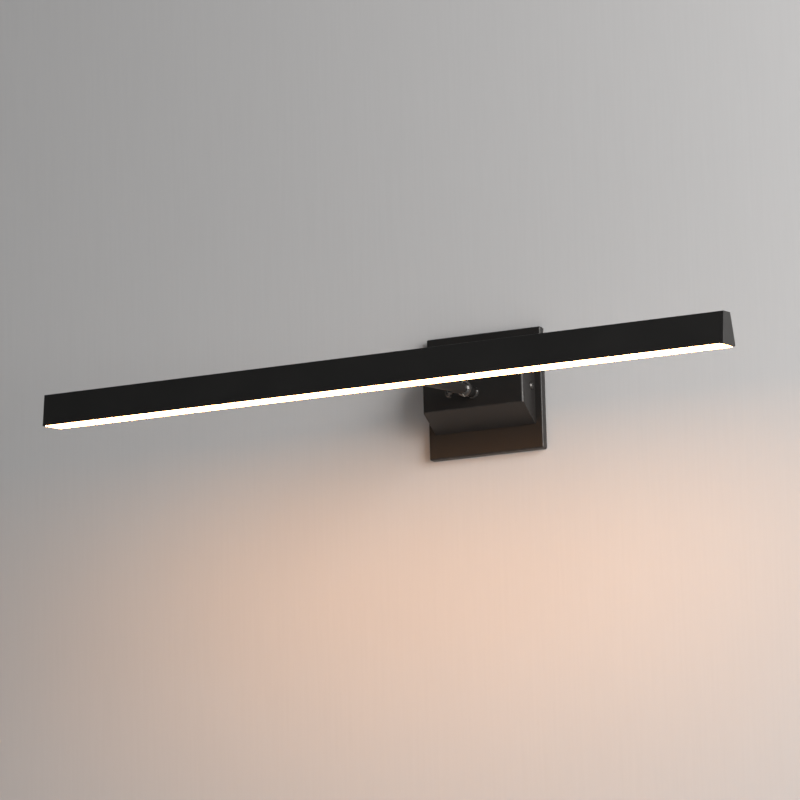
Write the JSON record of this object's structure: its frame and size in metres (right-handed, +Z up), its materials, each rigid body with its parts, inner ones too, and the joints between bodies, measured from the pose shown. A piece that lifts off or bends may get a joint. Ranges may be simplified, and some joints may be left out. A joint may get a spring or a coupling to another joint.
{
  "type": "vanity light bar",
  "caption": "Wall-mounted vanity light bar: long tapered LED bar with a glowing opal underside, on a tilting arm and ball swivel from a square wall plate with a cover box.",
  "frame": {"origin": "on the wall, midway between the two box-screw slots, behind the middle of the square plate", "axes": "+X along the bar, +Y into the wall (the front faces -Y), +Z up"},
  "size_m": [0.655, 0.2586, 0.1142],
  "materials": {
    "black_coat": "satin bronze-black powder coat",
    "bar_coat": "satin bronze-black powder coat on extruded aluminium",
    "gloss_black": "gloss black plating on turned brass",
    "black_screw": "black oxide, slightly glossy",
    "zinc_steel": "bright zinc plate",
    "green_screw": "green dyed zinc plate",
    "opal_lens": "opal acrylic, lit from inside",
    "driver_case": "moulded, fine texture",
    "circuit_board": "glass-filled board with its parts",
    "connector": "moulded",
    "wire_cover": "smooth insulation",
    "mains_cover": "smooth insulation",
    "nylon": "natural nylon",
    "plain_alloy": "as machined",
    "board_white": "white solder mask on an aluminium core",
    "led_phosphor": "yellow phosphor"
  },
  "bodies": {
    "wall_mount": {"crossbar": "zinc_steel", "back_plate": "black_coat", "plate_screws": "zinc_steel", "ground_screw": "green_screw", "cover_box": "black_coat", "box_chassis": "zinc_steel", "side_screws": "black_screw", "driver_case": "driver_case", "driver_lid": "driver_case", "driver_board": "circuit_board", "driver_screws": "zinc_steel", "wire_connectors": "connector", "mains_wires": "mains_cover", "stem_wires": "wire_cover", "swivel_rear": "gloss_black", "friction_disc": "nylon", "stem_washer": "zinc_steel", "stem_nut": "zinc_steel", "stem_bush": "nylon"},
    "lock_knob": {"lock_knob": "gloss_black"},
    "arm": {"knob_washer": "black_screw", "swivel_front": "gloss_black", "arm_tube": "black_coat", "arm_collar": "black_coat", "bar_hanger": "plain_alloy", "arm_grub_screw": "zinc_steel", "lamp_wires": "wire_cover", "bar_housing": "bar_coat", "end_cap_left": "bar_coat", "end_cap_right": "bar_coat", "led_board": "board_white", "led_chips": "led_phosphor", "board_screws": "zinc_steel", "lens": "opal_lens"}
  },
  "joints": [
    {"name": "arm_tilt", "type": "hinge", "parent": "wall_mount", "child": "arm", "pos_m": [0, -0.0542, -0.0046], "axis": [1, 0, 0], "range_deg": [-86, 74]},
    {"name": "lock_knob_turn", "type": "hinge", "parent": "wall_mount", "child": "lock_knob", "pos_m": [0, -0.0542, -0.0046], "axis": [1, 0, 0], "range_deg": [-360, 360]}
  ]
}
